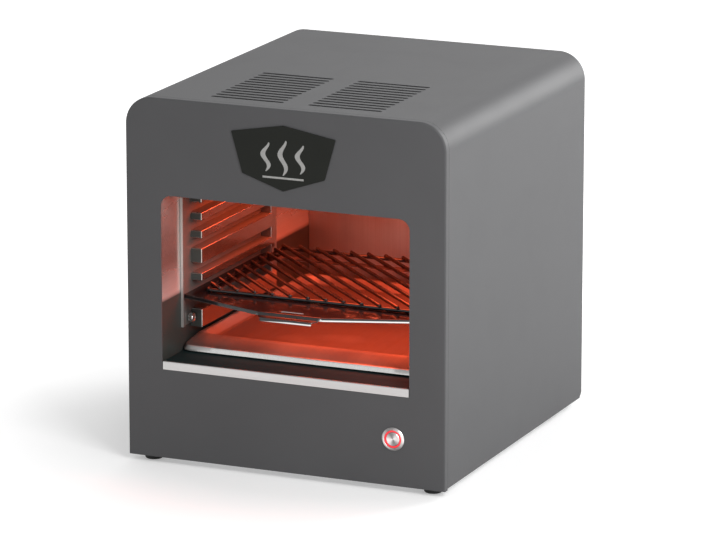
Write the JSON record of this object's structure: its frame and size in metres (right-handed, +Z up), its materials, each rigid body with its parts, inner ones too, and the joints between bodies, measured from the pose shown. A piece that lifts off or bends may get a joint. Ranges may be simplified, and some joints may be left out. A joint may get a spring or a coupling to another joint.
{
  "type": "electric grill",
  "caption": "Open-fronted upright electric grill cabinet with top infrared heater, side racks, slide-out grate on a carrier plate, drip tray and lit push-button.",
  "frame": {"origin": "centre of the bounding box at the bottom of the rubber feet", "axes": "+Z up, -Y towards the cooking opening at the front, +X to the right seen from the front"},
  "size_m": [0.39, 0.432, 0.426],
  "materials": {
    "powder_coat": "fine-textured dark grey powder coat, satin",
    "badge_black": null,
    "polished_steel": "polished stainless steel, lightly heat-tinted",
    "satin_steel": "satin stainless steel",
    "black_enamel": "semi-gloss black enamel",
    "zinc_plate": "zinc-plated steel",
    "rubber": "matte black rubber",
    "nylon": "matte black nylon",
    "ceramic": "unglazed steatite ceramic",
    "fibre_board": "pressed mineral fibre board",
    "red_light": "lit red ring lens",
    "hot_element": "sheathed heating element, glowing",
    "silicone_lead": "silicone-sleeved lead"
  },
  "bodies": {
    "cabinet": {"front_panel": "powder_coat", "outer_cover": "powder_coat", "rear_panel": "powder_coat", "badge_plate": "badge_black", "chamber_wall_left": "polished_steel", "chamber_wall_right": "polished_steel", "chamber_back": "polished_steel", "rack_left": "polished_steel", "rack_right": "polished_steel", "heat_reflector": "polished_steel", "chamber_floor": "satin_steel", "chamber_ceiling": "satin_steel", "chamber_screw_left": "satin_steel", "chamber_screw_right": "satin_steel", "rack_stud_left": "satin_steel", "rack_stud_right": "satin_steel", "element_support_front": "satin_steel", "element_support_rear": "satin_steel", "button_housing": "satin_steel", "base_plate": "zinc_plate", "heat_shield": "zinc_plate", "rear_screw_lower_left": "zinc_plate", "rear_screw_lower_right": "zinc_plate", "rear_screw_upper_left": "zinc_plate", "rear_screw_upper_right": "zinc_plate", "foot_screw_front_left": "zinc_plate", "foot_screw_front_right": "zinc_plate", "foot_screw_rear_left": "zinc_plate", "foot_screw_rear_right": "zinc_plate", "rack_nut_left": "zinc_plate", "rack_nut_right": "zinc_plate", "button_nut": "zinc_plate", "foot_front_left": "rubber", "foot_front_right": "rubber", "foot_rear_left": "rubber", "foot_rear_right": "rubber", "button_contacts": "nylon", "cord_gland": "nylon", "power_relay": "nylon", "terminal_block": "nylon", "thermal_cutout": "nylon", "terminal_bush_left": "ceramic", "terminal_bush_right": "ceramic", "insulation_top": "fibre_board", "insulation_left": "fibre_board", "insulation_right": "fibre_board", "insulation_back": "fibre_board", "button_light_ring": "red_light", "heating_element": "hot_element", "heater_lead_left": "silicone_lead", "heater_lead_right": "silicone_lead", "button_lead": "silicone_lead"},
    "tray": {"drip_tray": "polished_steel"},
    "carrier": {"grate_carrier": "black_enamel"},
    "grate": {"grill_grate": "black_enamel"},
    "button": {"button_plunger": "satin_steel"},
    "thumbscrew_left": {"thumbscrew_left": "satin_steel"},
    "thumbscrew_right": {"thumbscrew_right": "satin_steel"}
  },
  "joints": [
    {"name": "tray_slide", "type": "slide", "parent": "cabinet", "child": "tray", "axis": [0, -1, 0], "range_m": [0, 0.3]},
    {"name": "carrier_slide", "type": "slide", "parent": "cabinet", "child": "carrier", "axis": [0, -1, 0], "range_m": [0, 0.2]},
    {"name": "grate_lift", "type": "slide", "parent": "carrier", "child": "grate", "axis": [0, 0, 1], "range_m": [0, 0.04]},
    {"name": "button_press", "type": "slide", "parent": "cabinet", "child": "button", "axis": [0, 1, 0], "range_m": [0, 0.002], "stiffness_N_per_m": 1500, "springref_m": -0.001},
    {"name": "thumbscrew_left_turn", "type": "hinge", "parent": "cabinet", "child": "thumbscrew_left", "pos_m": [-0.1507, -0.14595, 0.157], "axis": [1, 0, 0], "range_deg": [0, 1350]},
    {"name": "thumbscrew_right_turn", "type": "hinge", "parent": "cabinet", "child": "thumbscrew_right", "pos_m": [0.1507, -0.14595, 0.157], "axis": [-1, 0, 0], "range_deg": [0, 1350]}
  ]
}
